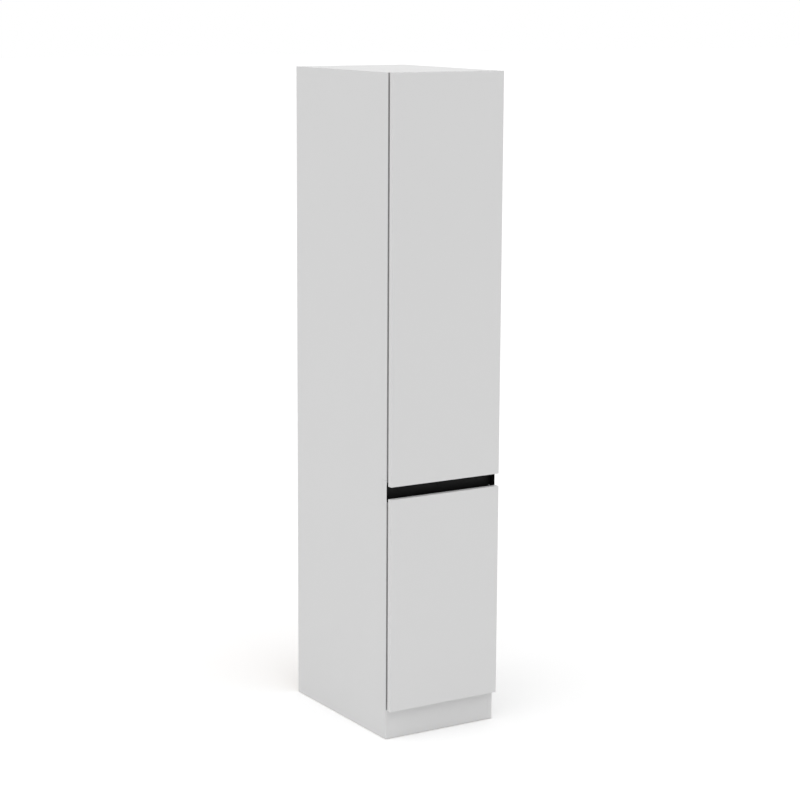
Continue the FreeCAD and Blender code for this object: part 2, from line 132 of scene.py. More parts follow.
# The x, y and z parts of a coordinate: Object for the place, Normal for the way a face looks
def coordinateParts(tree, kind):
    place = addNode(tree, "ShaderNodeTexCoord")
    return addNode(tree, "ShaderNodeSeparateXYZ", {0: place.outputs[kind]}).outputs


def newGroup(name, inputs, outputs):
    group = bpy.data.node_groups.new(name, "ShaderNodeTree")
    for label, kind, value in inputs:
        socket = group.interface.new_socket(name=label, in_out="INPUT", socket_type=kind)
        socket.default_value = value
    for label, kind in outputs:
        group.interface.new_socket(name=label, in_out="OUTPUT", socket_type=kind)
    return group, group.nodes.new("NodeGroupInput"), group.nodes.new("NodeGroupOutput")


def placeGroup(tree, group, inputs=None):
    return addNode(tree, "ShaderNodeGroup", inputs, node_tree=group)


def startMaterial(name):
    material = bpy.data.materials.new(name)
    material.use_nodes = True
    tree = material.node_tree
    return material, tree, tree.nodes["Principled BSDF"]


def grey(value):
    return (value, value, value, 1.0)


# Studio: an even pale surround, one very broad soft light from above and a little from the front left, a pale floor
studioSet = {
    "surround": 0.43,        # brightness of the surround as the cabinet is lit by it
    "backdrop": 1.0,         # brightness of the surround as the camera sees it
    "overhead": 1.76,        # strength of the light from above
    "overheadTilt": 15.0,    # how far it leans from straight down, in degrees
    "overheadTurn": -45.0,   # its turn about the vertical, which takes the lean from the front to the front left
    "overheadSpread": 90.0,  # its apparent size in degrees
    "floorColour": 0.99,
    "floorLift": 0.12,       # what the floor gains where the camera sees it
    "floorHalf": 60.0,       # half its width in metres
    "floorLines": 25,
}


# 1 where the camera sees a surface itself, mirrored or through glass
def seenDirectly(tree):
    path = addNode(tree, "ShaderNodeLightPath")
    beyond = mathNode(tree, "MAXIMUM", path.outputs["Is Glossy Ray"], path.outputs["Is Transmission Ray"])
    return mathNode(tree, "MAXIMUM", path.outputs["Is Camera Ray"], beyond)


def makeSurround(values):
    world = bpy.data.worlds.new("paleSurround")
    world.use_nodes = True
    tree = world.node_tree
    level = addNode(tree, "ShaderNodeMapRange", {"Value": seenDirectly(tree), "To Min": values["surround"],
                                                 "To Max": values["backdrop"]})
    feed(tree, tree.nodes["Background"], {"Color": grey(1.0), "Strength": level.outputs["Result"]})
    scene.world = world


def makeOverheadLight(values):
    lamp = bpy.data.lights.new("overheadLight", "SUN")
    lamp.energy = values["overhead"]
    lamp.angle = math.radians(values["overheadSpread"])
    light = bpy.data.objects.new("overheadLight", lamp)
    light.rotation_euler = (math.radians(values["overheadTilt"]), 0.0, math.radians(values["overheadTurn"]))
    scene.collection.objects.link(light)


# Flat square floor: x and y run over the same range, z stays 0
def makeFloor(values):
    lines = values["floorLines"]
    along = np.linspace(-values["floorHalf"], values["floorHalf"], lines)
    x, y = np.meshgrid(along, along, indexing="ij")
    points = np.stack([x, y, np.zeros_like(x)], axis=-1).reshape(-1, 3)
    floor = meshObject("studioFloor", points, gridFaces(lines, lines).tolist())
    material, tree, shader = startMaterial("paleFloor")
    lift = mathNode(tree, "MULTIPLY", seenDirectly(tree), values["floorLift"])
    feed(tree, shader, {"Base Color": grey(values["floorColour"]), "Roughness": 1.0, "Specular IOR Level": 0.0,
                        "Emission Color": grey(1.0), "Emission Strength": lift})
    floor.data.materials.append(material)


scene.view_settings.view_transform = "Standard"
makeSurround(studioSet)
makeOverheadLight(studioSet)
makeFloor(studioSet)
print("studio lit")

skinMixSet = {
    "grain": {"Detail": 3.0, "Roughness": 0.55},
    "cloud": {"Detail": 4.0, "Roughness": 0.6},
    "cloudShare": 0.6, "grainShare": 0.4,           # of the wandering roughness
    "range": {"From Min": 0.3, "From Max": 0.7},    # its span in the noise
}


# Skin: fine grain, broad cloudiness and a roughness that wanders between two values
def makeSkinGroup(values):
    group, given, result = newGroup(
        "finishSkin",
        [("Colour", "NodeSocketColor", grey(0.8)),
         ("Cloud Colour", "NodeSocketColor", grey(0.7)),
         ("Cloud Amount", "NodeSocketFloat", 0.2),
         ("Cloud Scale", "NodeSocketFloat", 6.0),
         ("Grain Scale", "NodeSocketFloat", 900.0),
         ("Stretch", "NodeSocketVector", (1.0, 1.0, 1.0)),
         ("Smooth", "NodeSocketFloat", 0.4),
         ("Rough", "NodeSocketFloat", 0.5)],
        [("Colour", "NodeSocketColor"), ("Roughness", "NodeSocketFloat"), ("Height", "NodeSocketFloat")])
    wish = given.outputs
    place = addNode(group, "ShaderNodeTexCoord").outputs["Object"]
    drawn = addNode(group, "ShaderNodeVectorMath", {0: place, 1: wish["Stretch"]}, operation="MULTIPLY").outputs[0]
    grain = addNode(group, "ShaderNodeTexNoise", {"Vector": drawn, "Scale": wish["Grain Scale"], **values["grain"]})
    cloud = addNode(group, "ShaderNodeTexNoise", {"Vector": place, "Scale": wish["Cloud Scale"], **values["cloud"]})
    amount = mathNode(group, "MULTIPLY", cloud.outputs["Fac"], wish["Cloud Amount"])
    wander = mathNode(group, "ADD", mathNode(group, "MULTIPLY", cloud.outputs["Fac"], values["cloudShare"]),
                      mathNode(group, "MULTIPLY", grain.outputs["Fac"], values["grainShare"]))
    rough = addNode(group, "ShaderNodeMapRange", {"Value": wander, "To Min": wish["Smooth"], "To Max": wish["Rough"],
                                                  **values["range"]})
    feed(group, result, {"Colour": colourMix(group, amount, wish["Colour"], wish["Cloud Colour"]),
                         "Roughness": rough.outputs["Result"], "Height": grain.outputs["Fac"]})
    return group


chipSet = {
    "flakeScale": 420.0,
    "tan": (0.46, 0.33, 0.19, 1.0),
    "straw": (0.60, 0.47, 0.31, 1.0),
    "bark": (0.24, 0.15, 0.08, 1.0),
    "barkShare": 0.55,
}


# Chips: flat flakes of three browns, as on the cut edge of a particle board
def makeChipGroup(values):
    group, given, result = newGroup(
        "cutEdgeChips",
        [("Flake Scale", "NodeSocketFloat", values["flakeScale"])],
        [("Colour", "NodeSocketColor")])
    place = addNode(group, "ShaderNodeTexCoord")
    flakes = addNode(group, "ShaderNodeTexVoronoi", {"Vector": place.outputs["Object"], "Randomness": 1.0,
                                                     "Scale": given.outputs["Flake Scale"]})
    tone = addNode(group, "ShaderNodeSeparateColor", {"Color": flakes.outputs["Color"]})
    light = colourMix(group, tone.outputs["Red"], values["tan"], values["straw"])
    dark = mathNode(group, "MULTIPLY", tone.outputs["Green"], values["barkShare"])
    feed(group, result, {"Colour": colourMix(group, dark, light, values["bark"])})
    return group


# How far a face's normal has to lean along an axis to count
leanSet = {"square": 0.9, "front": -0.7, "sideways": 0.7, "notInward": -0.5}
underside = 0.01    # a board's foot lies lower than this, in metres


# Edge masks of a board: rear and foot edges left raw, the front edges above the plinth that take grey painted shade
# for the shadow in the gap behind the doors, and the hairline where a band meets the face
def makeEdgeGroup():
    group, given, result = newGroup(
        "boardEdges",
        [("Front", "NodeSocketFloat", -0.27), ("Band", "NodeSocketFloat", 0.0009),
         ("Hairline", "NodeSocketFloat", 0.00012), ("Rear", "NodeSocketFloat", 0.2),
         ("Foot", "NodeSocketFloat", 0.096)],
        [("Raw", "NodeSocketFloat"), ("Line", "NodeSocketFloat"), ("Painted Gap Shade", "NodeSocketFloat")])
    wish = given.outputs
    place = coordinateParts(group, "Object")
    facing = coordinateParts(group, "Normal")
    rear = mathNode(group, "MULTIPLY", mathNode(group, "GREATER_THAN", place["Y"], wish["Rear"]),
                    mathNode(group, "GREATER_THAN", facing["Y"], leanSet["square"]))
    under = mathNode(group, "MULTIPLY", mathNode(group, "LESS_THAN", place["Z"], underside),
                     mathNode(group, "LESS_THAN", facing["Z"], -leanSet["square"]))
    back = mathNode(group, "SUBTRACT", place["Y"], wish["Front"])
    away = distanceFromZero(group, mathNode(group, "SUBTRACT", back, wish["Band"]))
    edge = mathNode(group, "MULTIPLY", mathNode(group, "LESS_THAN", back, wish["Band"]),
                    mathNode(group, "LESS_THAN", facing["Y"], leanSet["front"]))
    above = mathNode(group, "GREATER_THAN", place["Z"], wish["Foot"])
    feed(group, result, {"Raw": mathNode(group, "MAXIMUM", rear, under),
                         "Line": mathNode(group, "LESS_THAN", away, wish["Hairline"]),
                         "Painted Gap Shade": mathNode(group, "MULTIPLY", edge, above)})
    return group


skinGroup = makeSkinGroup(skinMixSet)
chipGroup = makeChipGroup(chipSet)
edgeGroup = makeEdgeGroup()
print("shared finishes:", len(bpy.data.node_groups))


# Skin over the whole surface, with the constants of the finish on the shader itself
def skinMaterial(name, values):
    material, tree, shader = startMaterial(name)
    skin = placeGroup(tree, skinGroup, values["skin"])
    strength, distance = values["bump"]
    bump = addNode(tree, "ShaderNodeBump", {"Strength": strength, "Distance": distance,
                                            "Height": skin.outputs["Height"]})
    feed(tree, shader, {"Base Color": skin.outputs["Colour"], "Roughness": skin.outputs["Roughness"],
                        "Normal": bump.outputs["Normal"], **values["shader"]})
    return material, tree, shader, skin


whiteBoardSet = {
    "skin": {"Colour": grey(0.755), "Cloud Colour": grey(0.735), "Cloud Amount": 0.5, "Cloud Scale": 3.5,
             "Grain Scale": 1100.0, "Smooth": 0.46, "Rough": 0.56},
    "bump": (0.10, 0.0004),
    "shader": {"Specular IOR Level": 0.25},
    "edges": {"Band": 0.0009, "Hairline": 0.00012, "Rear": 0.2},
    "bandShade": grey(0.60),    # hairline beside the edge band
    "lineShare": 0.35,
    "paintedGapShade": grey(0.40),   # painted shade: grey on the front edges behind the doors, for the shadow in the gap
    "rawRough": 0.9,
}


# Faced board: skin, hairline behind the front band, painted shade on front edges behind the doors, chips on raw rear
# and foot edges
def boardMaterial(name, values):
    material, tree, shader, skin = skinMaterial(name, values)
    edges = placeGroup(tree, edgeGroup, {"Front": float(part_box("left_side_panel")[0][1]),
                                         "Foot": float(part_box("lower_door_panel")[0][2]), **values["edges"]}).outputs
    chips = placeGroup(tree, chipGroup)
    line = mathNode(tree, "MULTIPLY", edges["Line"], values["lineShare"])
    lined = colourMix(tree, line, skin.outputs["Colour"], values["bandShade"])
    # painted shade: the front edges behind the doors turn grey, standing for the shadow in the gap beside the doors
    gapShaded = colourMix(tree, edges["Painted Gap Shade"], lined, values["paintedGapShade"])
    rawRough = mathNode(tree, "MULTIPLY", edges["Raw"], values["rawRough"])
    feed(tree, shader, {"Base Color": colourMix(tree, edges["Raw"], gapShaded, chips.outputs["Colour"]),
                        "Roughness": mathNode(tree, "MAXIMUM", skin.outputs["Roughness"], rawRough)})
    return material


backBoardSet = {
    "skin": {"Colour": grey(0.74), "Cloud Colour": grey(0.71), "Cloud Amount": 0.5, "Cloud Scale": 5.0,
             "Grain Scale": 700.0, "Smooth": 0.5, "Rough": 0.62},
    "fibre": {"Colour": (0.24, 0.135, 0.065, 1.0), "Cloud Colour": (0.33, 0.21, 0.115, 1.0), "Cloud Amount": 1.0,
              "Cloud Scale": 90.0, "Grain Scale": 1600.0, "Smooth": 0.75, "Rough": 0.9},
    "bump": (0.12, 0.0004),
    "shader": {"Specular IOR Level": 0.25},
}


# Thin back board: painted towards the inside, bare fibre on the side towards the wall
def backMaterial(name, values):
    material, tree, shader, skin = skinMaterial(name, values)
    fibre = placeGroup(tree, skinGroup, values["fibre"])
    bare = mathNode(tree, "GREATER_THAN", coordinateParts(tree, "Normal")["Y"], leanSet["notInward"])
    rough = addNode(tree, "ShaderNodeMix", {0: bare, 2: skin.outputs["Roughness"], 3: fibre.outputs["Roughness"]},
                    data_type="FLOAT")
    feed(tree, shader, {"Base Color": colourMix(tree, bare, skin.outputs["Colour"], fibre.outputs["Colour"]),
                        "Roughness": rough.outputs[0]})
    return material


# Front faces more than the clearance above or below the finger gap, which the doors cover: the mask of the painted gap
# shade
def coveredFront(tree, place, facing, clear):
    low = float(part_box("lower_door_panel")[1][2])
    high = float(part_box("upper_door_panel")[0][2])
    away = distanceFromZero(tree, mathNode(tree, "SUBTRACT", place["Z"], (low + high) / 2.0))
    return mathNode(tree, "MULTIPLY", mathNode(tree, "GREATER_THAN", away, (high - low) / 2.0 + clear),
                    mathNode(tree, "LESS_THAN", facing["Y"], leanSet["front"]))


railSet = {
    "skin": {"Colour": grey(0.0035), "Cloud Colour": grey(0.006), "Cloud Amount": 0.8, "Cloud Scale": 9.0,
             "Grain Scale": 900.0, "Stretch": (0.02, 1.0, 1.0), "Smooth": 0.42, "Rough": 0.58},
    "bump": (0.18, 0.0002),
    "shader": {"Specular IOR Level": 0.2},
    # painted shade for the gap beside the doors, the same grey as on the board edges
    "paintedGapShade": grey(0.40),
    "gapShadeFrom": 0.192,      # half width past which the lips take the painted shade
    "gapShadeClear": 0.0035,    # black left showing beside the finger gap
}


# Grip rail: black, with grey painted shade on the ends of its lips where the doors cover them, for the shadow in the
# gap
def railMaterial(name, values):
    material, tree, shader, skin = skinMaterial(name, values)
    place = coordinateParts(tree, "Object")
    facing = coordinateParts(tree, "Normal")
    ends = mathNode(tree, "GREATER_THAN", distanceFromZero(tree, place["X"]), values["gapShadeFrom"])
    # painted shade: the covered lip ends turn grey to carry on the shadow line beside the doors
    gapShaded = mathNode(tree, "MULTIPLY", coveredFront(tree, place, facing, values["gapShadeClear"]), ends)
    feed(tree, shader, {"Base Color": colourMix(tree, gapShaded, skin.outputs["Colour"], values["paintedGapShade"])})
    return material


capSet = {
    "skin": {"Colour": grey(0.006), "Cloud Colour": grey(0.010), "Cloud Amount": 0.6, "Cloud Scale": 60.0,
             "Grain Scale": 2600.0, "Smooth": 0.42, "Rough": 0.56},
    "face": whiteBoardSet["skin"],
    "bump": (0.10, 0.0002),
    "shader": {"Specular IOR Level": 0.25},
    "outside": 0.1995,      # the white face lies further out than this, in metres
    # painted shade for the gap beside the doors, the same grey as on the board edges
    "paintedGapShade": grey(0.40),
    "gapShadeClear": 0.0035,
}


# Rail cap: black moulding, with its outermost sideways face white and grey painted shade on its front where the doors
# cover it
def capMaterial(name, values):
    material, tree, shader, skin = skinMaterial(name, values)
    face = placeGroup(tree, skinGroup, values["face"])
    place = coordinateParts(tree, "Object")
    facing = coordinateParts(tree, "Normal")
    outside = mathNode(tree, "GREATER_THAN", distanceFromZero(tree, place["X"]), values["outside"])
    sideways = mathNode(tree, "GREATER_THAN", distanceFromZero(tree, facing["X"]), leanSet["sideways"])
    white = mathNode(tree, "MULTIPLY", outside, sideways)
    # painted shade: the covered front turns grey, standing for the shadow in the gap beside the doors
    covered = coveredFront(tree, place, facing, values["gapShadeClear"])
    gapShaded = colourMix(tree, covered, skin.outputs["Colour"], values["paintedGapShade"])
    feed(tree, shader, {"Base Color": colourMix(tree, white, gapShaded, face.outputs["Colour"])})
    return material


# Finishes that are a skin and nothing more
doorLacquerSet = {
    "skin": {"Colour": grey(0.755), "Cloud Colour": grey(0.742), "Cloud Amount": 0.5, "Cloud Scale": 2.2,
             "Grain Scale": 260.0, "Smooth": 0.40, "Rough": 0.48},
    "bump": (0.06, 0.0006),
    "shader": {"Specular IOR Level": 0.25},
}
plasticSet = {
    "skin": {"Colour": grey(0.755), "Cloud Colour": grey(0.72), "Cloud Amount": 0.5, "Cloud Scale": 60.0,
             "Grain Scale": 2600.0, "Smooth": 0.32, "Rough": 0.42},
    "bump": (0.10, 0.0002),
    "shader": {"Specular IOR Level": 0.4},
}
nickelSet = {
    "skin": {"Colour": (0.66, 0.645, 0.615, 1.0), "Cloud Colour": (0.60, 0.585, 0.56, 1.0), "Cloud Amount": 0.6,
             "Cloud Scale": 140.0, "Grain Scale": 2400.0, "Stretch": (1.0, 0.12, 1.0), "Smooth": 0.22, "Rough": 0.31},
    "bump": (0.10, 0.0001),
    "shader": {"Metallic": 1.0},
}
blackSteelSet = {
    "skin": {"Colour": grey(0.005), "Cloud Colour": grey(0.010), "Cloud Amount": 0.7, "Cloud Scale": 300.0,
             "Grain Scale": 2600.0, "Smooth": 0.45, "Rough": 0.6},
    "bump": (0.10, 0.0001),
    "shader": {"Specular IOR Level": 0.2},
}
zincSet = {
    "skin": {"Colour": (0.46, 0.465, 0.475, 1.0), "Cloud Colour": (0.33, 0.335, 0.345, 1.0), "Cloud Amount": 0.9,
             "Cloud Scale": 260.0, "Grain Scale": 3200.0, "Smooth": 0.42, "Rough": 0.62},
    "bump": (0.25, 0.0001),
    "shader": {"Metallic": 1.0},
}
beechSet = {
    "skin": {"Colour": (0.58, 0.40, 0.235, 1.0), "Cloud Colour": (0.43, 0.27, 0.14, 1.0), "Cloud Amount": 0.9,
             "Cloud Scale": 220.0, "Grain Scale": 2400.0, "Stretch": (0.08, 1.0, 1.0), "Smooth": 0.6, "Rough": 0.8},
    "bump": (0.2, 0.0002),
    "shader": {"Specular IOR Level": 0.3},
}
bumperSet = {
    "skin": {"Colour": grey(0.86), "Cloud Colour": grey(0.80), "Cloud Amount": 0.6, "Cloud Scale": 400.0,
             "Grain Scale": 2500.0, "Smooth": 0.12, "Rough": 0.22},
    "bump": (0.05, 0.0001),
    "shader": {"Transmission Weight": 0.75, "IOR": 1.45},
}

finishes = {
    "white_board": boardMaterial("facedWhiteBoard", whiteBoardSet),
    "door_lacquer": skinMaterial("satinDoorLacquer", doorLacquerSet)[0],
    "back_board": backMaterial("thinBackBoard", backBoardSet),
    "black_aluminium": railMaterial("blackAnodisedRail", railSet),
    "white_plastic": skinMaterial("mouldedWhitePlastic", plasticSet)[0],
    "black_plastic": capMaterial("mouldedRailCap", capSet),
    "nickelled_steel": skinMaterial("nickelPlatedSteel", nickelSet)[0],
    "black_steel": skinMaterial("blackCoatedScrew", blackSteelSet)[0],
    "zinc": skinMaterial("castZinc", zincSet)[0],
    "beech": skinMaterial("bareBeech", beechSet)[0],
    "clear_bumper": skinMaterial("clearSoftBumper", bumperSet)[0],
}
print("finishes:", len(finishes))

# Which finish each CAD node takes; the metal fittings not listed here are nickelled
nodesOfFinish = {
    "white_board": ["left_side_panel", "right_side_panel", "top_panel", "middle_panel", "bottom_panel",
                    "plinth_board", "rear_plinth_rail"] + [name for name in nodes if "_shelf_" in name],
    "door_lacquer": ["upper_door_panel", "lower_door_panel"],
    "back_board": ["upper_back_panel", "lower_back_panel"],
    "black_aluminium": ["grip_rail"],
    "white_plastic": ["back_joint_strip", "floor_glides"],
    "black_plastic": ["left_grip_cap", "right_grip_cap"],
    "black_steel": ["grip_rail_screws"],
    "zinc": ["cam_discs"],
    "beech": ["dowels"],
    "clear_bumper": ["upper_door_bumpers", "lower_door_bumpers"],
}
slotOfNode = {name: "nickelled_steel" for name in nodes}
slotOfNode.update({node: slot for slot, members in nodesOfFinish.items() for node in members})


def setFinish(piece, slot):
    piece.data.materials.clear()
    piece.data.materials.append(finishes[slot])


for name, node in nodes.items():
    setFinish(node, slotOfNode[name])


# A new piece takes the finish, the body and the place of its CAD node
def standInFor(piece, name):
    setFinish(piece, slotOfNode[name])
    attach(piece, bodyOfNode[name])
    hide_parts(name)


def shadeSmooth(mesh, sharpAngle):
    mesh.polygons.foreach_set("use_smooth", np.ones(len(mesh.polygons), dtype=bool))
    mesh.set_sharp_from_angle(angle=math.radians(sharpAngle))


def meshPoints(mesh):
    points = np.empty(len(mesh.vertices) * 3)
    mesh.vertices.foreach_get("co", points)
    return points.reshape(-1, 3)


sameSpot = {"stepsPerMetre": 2e5, "within": 2e-6}   # how close two corners of a CAD mesh are one point


# Boxes of a node's separate solids, found by letting each triangle share its lowest point number
def solidBoxes(name):
    mesh = nodes[name].data
    points = meshPoints(mesh)
    mesh.calc_loop_triangles()
    corners = np.empty(len(mesh.loop_triangles) * 3, dtype=np.int64)
    mesh.loop_triangles.foreach_get("vertices", corners)
    spots = np.round(points * sameSpot["stepsPerMetre"]).astype(np.int64)
    merged = np.unique(spots, axis=0, return_inverse=True)[1].reshape(-1)
    triangles = merged[corners].reshape(-1, 3)
    label = np.arange(merged.max() + 1)
    while True:
        lowest = label[triangles].min(axis=1)
        spread = label.copy()
        np.minimum.at(spread, triangles.reshape(-1), np.repeat(lowest, 3))
        if np.array_equal(spread, label):
            break
        label = spread
    kinds, which = np.unique(label[merged], return_inverse=True)
    low = np.full((len(kinds), 3), np.inf)
    high = np.full((len(kinds), 3), -np.inf)
    np.minimum.at(low, which, points)
    np.maximum.at(high, which, points)
    return low, high


# Sizes in metres of the rims that are made round: the hinge cup with its wings, and the mounting plate's wings
cupRimSet = {"flange": 0.0190, "bowl": 0.0174, "inside": 0.0164, "sides": 20}
cupWingSet = {"back": 0.0060, "reach": 0.0235, "radius": 0.0075, "sides": 12}
plateWingSet = {"row": 0.0370, "reach": 0.0165, "radius": 0.0065, "sides": 12}
trueArcSet = {"cuts": 4, "near": 2e-5}


# The half rounds at the lower and upper end of a wing
def wingArcs(axis, plane, row, middle, values):
    return [{"axis": axis, "plane": plane, "centre": np.array([row, middle + way * values["reach"]]),
             "radii": [values["radius"]], "sides": values["sides"], "way": way} for way in (-1.0, 1.0)]


def arcsOfNode(name):
    arcs = []
    if name.endswith("hinge_cups"):
        for lowest, highest in zip(*solidBoxes(name)):
            middle = (lowest[2] + highest[2]) / 2.0
            cupX = lowest[0] + cupRimSet["flange"]
            arcs.append({"axis": 1, "plane": [0, 2], "centre": np.array([cupX, middle]), "sides": cupRimSet["sides"],
                         "radii": [cupRimSet["flange"], cupRimSet["bowl"], cupRimSet["inside"]], "way": 0.0})
            arcs += wingArcs(1, [0, 2], cupX - cupWingSet["back"], middle, cupWingSet)
    if name == "hinge_plates":
        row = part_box("left_side_panel")[0][1] + plateWingSet["row"]
        for lowest, highest in zip(*solidBoxes(name)):
            arcs += wingArcs(0, [1, 2], row, (lowest[2] + highest[2]) / 2.0, plateWingSet)
    return arcs


# Edges that are one side of a rim: level, with both ends on the rim and as long as its chord
def rimEdges(mesh, arcs):
    near = trueArcSet["near"]
    points = meshPoints(mesh)
    ends = np.empty(len(mesh.edges) * 2, dtype=np.int64)
    mesh.edges.foreach_get("vertices", ends)
    ends = ends.reshape(-1, 2)
    run = points[ends[:, 0]] - points[ends[:, 1]]
    length = np.linalg.norm(run, axis=1)
    chosen = np.zeros(len(ends), dtype=bool)
    for arc in arcs:
        radius = np.linalg.norm(points[:, arc["plane"]] - arc["centre"], axis=1)
        level = np.abs(run[:, arc["axis"]]) < near
        for size in arc["radii"]:
            chord = 2.0 * size * np.sin(np.pi / arc["sides"])
            onRim = (np.abs(radius - size) < near)[ends].all(axis=1)
            chosen |= level & onRim & (np.abs(length - chord) < near)
    return np.flatnonzero(chosen)


# True arcs: a many-sided rim's edges are divided, then each point moves out from the rim's centre by the ratio of
# circle to polygon at its own angle, the cosine of the angle to the side's middle over that at its corner
def makeArcsTrue(mesh, arcs):
    near = trueArcSet["near"]
    chosen = rimEdges(mesh, arcs)
    body = bmesh.new()
    body.from_mesh(mesh)
    body.edges.ensure_lookup_table()
    bmesh.ops.subdivide_edges(body, edges=[body.edges[index] for index in chosen], cuts=trueArcSet["cuts"])
    body.to_mesh(mesh)
    body.free()
    points = meshPoints(mesh)
    for arc in arcs:
        across = points[:, arc["plane"]] - arc["centre"]
        radius = np.linalg.norm(across, axis=1)
        step = 2.0 * np.pi / arc["sides"]
        turn = np.mod(np.arctan2(across[:, 1], across[:, 0]), step)
        swell = np.cos(turn - step / 2.0) / np.cos(step / 2.0)
        inside = (radius < max(arc["radii"]) + near) & (across[:, 1] * arc["way"] > -near)
        points[np.ix_(inside, arc["plane"])] = arc["centre"] + across[inside] * swell[inside, None]
    mesh.vertices.foreach_set("co", points.reshape(-1))
    mesh.update()
    return len(chosen)


# Softened edges: the width of the rounding in metres, given by kind of piece
softEdgeSet = {
    "boards": {"names": nodesOfFinish["white_board"], "width": 0.0006, "segments": 3},
    "doors": {"names": nodesOfFinish["door_lacquer"], "width": 0.0004, "segments": 2},
    "rail": {"names": ["grip_rail"], "width": 0.0003, "segments": 2},
    "mouldings": {"names": ["floor_glides", "left_grip_cap", "right_grip_cap", "back_joint_strip"],
                  "width": 0.0002, "segments": 2},
    "pressings": {"names": ["hinge_plates", "hinge_arms", "upper_outer_links", "lower_outer_links",
                            "upper_inner_links", "lower_inner_links", "upper_hinge_cups", "lower_hinge_cups",
                            "wall_brackets", "shelf_pins", "cam_discs"],
                  "width": 0.00018, "segments": 2},
    "roundBars": {"names": ["hinge_arm_pins", "upper_cup_pins", "lower_cup_pins", "cam_bolts", "dowels"],
                  "width": 0.00015, "segments": 2},
}
softAngleSet = {
    "flat": 0.5,     # faces nearer to flat than this many degrees are one face
    "sharp": 50.0,   # corners sharper than this are rounded, the rest are shaded smooth
}


# A copy of the CAD mesh with its doubles merged and flat triangles joined, then a narrow rounding of its corners
def softenEdges(name, width, segments):
    body = bmesh.new()
    body.from_mesh(nodes[name].data)
    bmesh.ops.remove_doubles(body, verts=body.verts, dist=sameSpot["within"])
    bmesh.ops.dissolve_limit(body, angle_limit=math.radians(softAngleSet["flat"]), verts=body.verts,
                             edges=body.edges)
    mesh = bpy.data.meshes.new(name + "Soft")
    body.to_mesh(mesh)
    body.free()
    arcs = arcsOfNode(name)
    if arcs:
        print("rounded:", name, makeArcsTrue(mesh, arcs), "rim edges")
    shadeSmooth(mesh, softAngleSet["sharp"])
    piece = bpy.data.objects.new(name + "Soft", mesh)
    scene.collection.objects.link(piece)
    bevel = piece.modifiers.new("roundedCorners", "BEVEL")
    bevel.width = width
    bevel.segments = segments
    bevel.limit_method = "ANGLE"
    bevel.angle_limit = math.radians(softAngleSet["sharp"])
    flat = piece.modifiers.new("flatFaces", "WEIGHTED_NORMAL")   # large flat faces keep a level shade
    flat.keep_sharp = True
    standInFor(piece, name)


for kind, values in softEdgeSet.items():
    for name in values["names"]:
        softenEdges(name, values["width"], values["segments"])
    print("softened:", kind, len(values["names"]))


# A profile carried round an axis: x and y are its radius times the cosine and sine, z is its height
def revolve(radii, heights, around):
    return np.stack([radii[:, None] * np.cos(around), radii[:, None] * np.sin(around),
                     np.repeat(heights[:, None], len(around), axis=1)], axis=-1)


# Grids closed round their axis become one piece, and each grid's two ends are shut by one face each
def manyCopies(pieceName, name, shapes, sharpAngle):
    points = []
    faces = []
    start = 0
    for grid in shapes:
        rows, columns = grid.shape[:2]
        first = np.arange(columns) + start
        last = first[::-1] + (rows - 1) * columns
        points.append(grid.reshape(-1, 3))
        faces += (gridFaces(rows, columns, closed=True) + start).tolist() + [first.tolist(), last.tolist()]
        start += rows * columns
    piece = meshObject(pieceName, np.concatenate(points), faces)
    outward = bmesh.new()
    outward.from_mesh(piece.data)
    bmesh.ops.recalc_face_normals(outward, faces=outward.faces)
    outward.to_mesh(piece.data)
    outward.free()
    shadeSmooth(piece.data, sharpAngle)
    standInFor(piece, name)
    return piece


# A grid about its own third axis is turned so that this axis lies against the drive
def turnedGrid(grid, drive, seat):
    axis = -np.array(drive, dtype=float)
    side = np.cross(axis, (0.0, 0.0, 1.0))
    side /= np.linalg.norm(side)
    other = np.cross(axis, side)
    return seat + grid[..., :1] * side + grid[..., 1:2] * other + grid[..., 2:3] * axis


# Screws: where each drives (None is outwards from the middle), head height, shaft radius and recess depth in metres
screwSet = {
    "grip_rail_screws": {"drive": (0, 1, 0), "head": 0.0012, "shaft": 0.0020, "recess": 0.0007},
    "wall_bracket_screws": {"drive": None, "head": 0.0015, "shaft": 0.0018, "recess": 0.0009},
    "hinge_plate_screws": {"drive": (1, 0, 0), "head": 0.0016, "shaft": 0.0025, "recess": 0.0010},
    "hinge_arm_screws": {"drive": (1, 0, 0), "head": 0.0018, "shaft": 0.0020, "recess": 0.0012},
    "upper_cup_screws": {"drive": (0, -1, 0), "head": 0.0012, "shaft": 0.0018, "recess": 0.0008},
    "lower_cup_screws": {"drive": (0, -1, 0), "head": 0.0012, "shaft": 0.0018, "recess": 0.0008},
}
screwShapeSet = {
    "around": 48,
    "across": 16,
    "middle": 0.02,         # innermost ring, as a share of the dome's radius
    "dome": 0.97,           # the dome's radius, as a share of the head's
    "domeFall": 0.45,       # what the dome loses at the head's edge, as a share of its height
    "armHalf": 0.13,        # the cross recess: half width, reach and soft edge, as shares of the head's radius
    "armReach": 0.58,
    "armSoft": 0.06,
    "rim": (1.0, 1.0, 0.98),       # the head's edge: shares of its radius and of its height
    "rimHeight": (0.42, 0.08, 0.0),
    "pitch": 0.0012,        # of the thread, in metres
    "ringsPerTurn": 6,
    "leastRings": 8,
    "threadDepth": 0.14,    # as a share of the shaft's radius
    "tipLength": 2.2,       # the tip, as shares of the shaft's radius
    "tipEnd": 0.05,
    "sharpAngle": 40.0,
}


# One arm of the cross: 1 inside it, falling to 0 over the soft edge at its sides and ends
def recessArm(across, along, headRadius, shape):
    soft = headRadius * shape["armSoft"]
    sides = np.clip((headRadius * shape["armHalf"] - np.abs(across)) / soft + 0.5, 0.0, 1.0)
    return sides * np.clip((headRadius * shape["armReach"] - np.abs(along)) / soft + 0.5, 0.0, 1.0)


